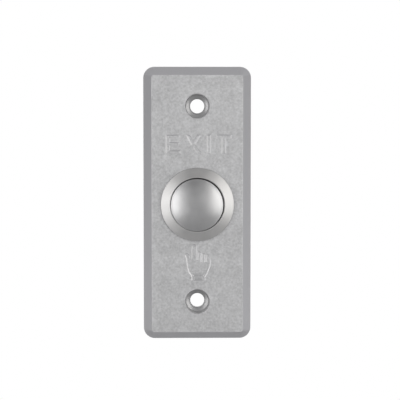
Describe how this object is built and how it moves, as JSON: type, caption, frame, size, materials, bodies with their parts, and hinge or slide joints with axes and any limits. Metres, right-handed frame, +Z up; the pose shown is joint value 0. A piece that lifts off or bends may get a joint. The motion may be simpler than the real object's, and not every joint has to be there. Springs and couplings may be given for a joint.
{
  "type": "door exit button",
  "caption": "Narrow wall plate with two countersunk screw holes and a round metal push button that opens a door lock.",
  "frame": {"origin": "middle of the wall plate, on the plane of the wall that the plate's rim rests against", "axes": "+Z up along the plate's length, +X to the right seen from the front, +Y from the room into the wall, so the front faces -Y"},
  "size_m": [0.0328, 0.0266, 0.083],
  "materials": {
    "plate_metal": "fine-grained satin grey over a zinc casting",
    "satin_steel": "satin",
    "nickel": "dull nickel plate",
    "spring_steel": "drawn wire",
    "brass": "rolled",
    "silver": "satin",
    "rubber": "matte",
    "white_nylon": "moulded",
    "black_nylon": "moulded"
  },
  "bodies": {
    "root": {"face_plate": "plate_metal", "flange_gasket": "rubber", "button_housing": "satin_steel", "lock_nut": "nickel", "plunger_seal": "rubber", "switch_base": "black_nylon", "terminal_no": "brass", "terminal_com": "brass", "clamp_washer_no": "nickel", "clamp_washer_com": "nickel", "terminal_screw_no": "nickel", "terminal_screw_com": "nickel", "fixed_contact_left": "silver", "fixed_contact_right": "silver", "return_spring": "spring_steel"},
    "button": {"button_cap": "satin_steel", "plunger": "white_nylon", "stop_clip": "spring_steel", "contact_spring": "spring_steel", "contact_bridge": "brass", "bridge_contact_left": "silver", "bridge_contact_right": "silver", "bridge_clip": "spring_steel"}
  },
  "joints": [
    {"name": "button_press", "type": "slide", "parent": "root", "child": "button", "axis": [0, 1, 0], "range_m": [0, 0.0023], "stiffness_N_per_m": 1200, "springref_m": -0.002, "deforming": ["return_spring"]}
  ]
}
